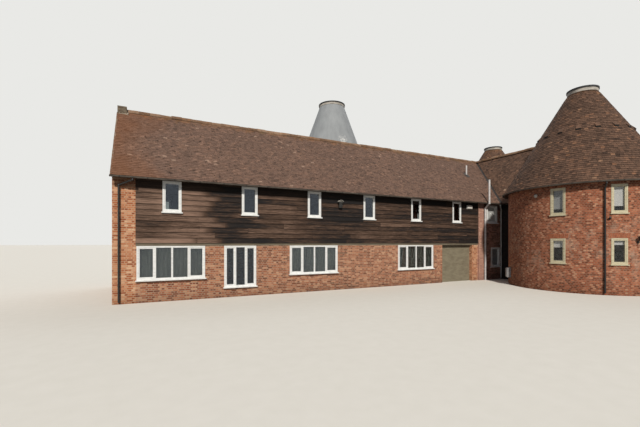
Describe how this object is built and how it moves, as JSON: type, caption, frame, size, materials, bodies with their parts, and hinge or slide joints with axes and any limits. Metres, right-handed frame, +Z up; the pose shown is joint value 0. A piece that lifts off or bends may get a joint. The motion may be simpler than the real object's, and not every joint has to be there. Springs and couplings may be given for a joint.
{
  "type": "oast house",
  "caption": "Long brick and weatherboarded barn with a tiled roof, a link wing and round brick kilns with truncated cone roofs; a house to place in a scene.",
  "frame": {"origin": "middle of the base of the house's bounding box, at ground level", "axes": "+X along the barn from its west gable to the kilns, +Y from the front to the rear, +Z up"},
  "size_m": [31.2471, 21.4146, 13.0712],
  "materials": {
    "concrete": "matte",
    "floor_boards": "matte",
    "barn_brick": "matte",
    "pier_brick": "matte",
    "weatherboards": "matte",
    "plate_timber": "matte",
    "panel_paint": "satin",
    "roof_tiles": "matte",
    "ridge_tiles": "matte",
    "stub_masonry": "matte",
    "kiln_brick": "matte",
    "cone_tiles": "matte",
    "grey_covering": "satin",
    "collar_paint": "satin",
    "cap_felt": "matte",
    "white_frames": "satin",
    "window_glass": "gloss",
    "cream_timber": "satin",
    "black_gutter": "satin",
    "white_pipe": "satin",
    "white_box": "satin",
    "lamp_metal": "satin",
    "meter_plastic": "satin"
  },
  "bodies": {
    "root": {"ground_slab": "concrete", "barn_first_floor": "floor_boards", "west_gable": "barn_brick", "east_gable": "barn_brick", "brick_piers": "pier_brick", "front_brick_wall": "barn_brick", "front_boarded_wall": "weatherboards", "recess_wall": "barn_brick", "rear_brick_wall": "barn_brick", "rear_boarded_wall": "weatherboards", "wall_plates": "plate_timber", "porch_panel": "panel_paint", "front_roof": "roof_tiles", "rear_roof": "roof_tiles", "barn_ridge_tiles": "ridge_tiles", "gable_stub": "stub_masonry", "link_west_wall": "barn_brick", "link_east_wall": "barn_brick", "link_floor": "floor_boards", "link_west_roof": "roof_tiles", "link_east_roof": "roof_tiles", "link_ridge_tiles": "ridge_tiles", "front_kiln_south_wall": "kiln_brick", "front_kiln_north_wall": "kiln_brick", "rear_kiln_south_wall": "kiln_brick", "rear_kiln_north_wall": "kiln_brick", "east_kiln_west_wall": "kiln_brick", "east_kiln_east_wall": "kiln_brick", "front_cone": "cone_tiles", "east_cone": "cone_tiles", "rear_cone": "grey_covering", "cone_collars": "collar_paint", "cone_caps": "cap_felt", "kiln_floors": "floor_boards", "barn_windows": "white_frames", "barn_glass": "window_glass", "kiln_windows": "cream_timber", "kiln_glass": "window_glass", "gutters": "black_gutter", "downpipes": "black_gutter", "white_pipes": "white_pipe", "alarm_box": "white_box", "wall_lamp": "lamp_metal", "kiln_lights": "lamp_metal", "meter_box": "meter_plastic"}
  },
  "joints": []
}
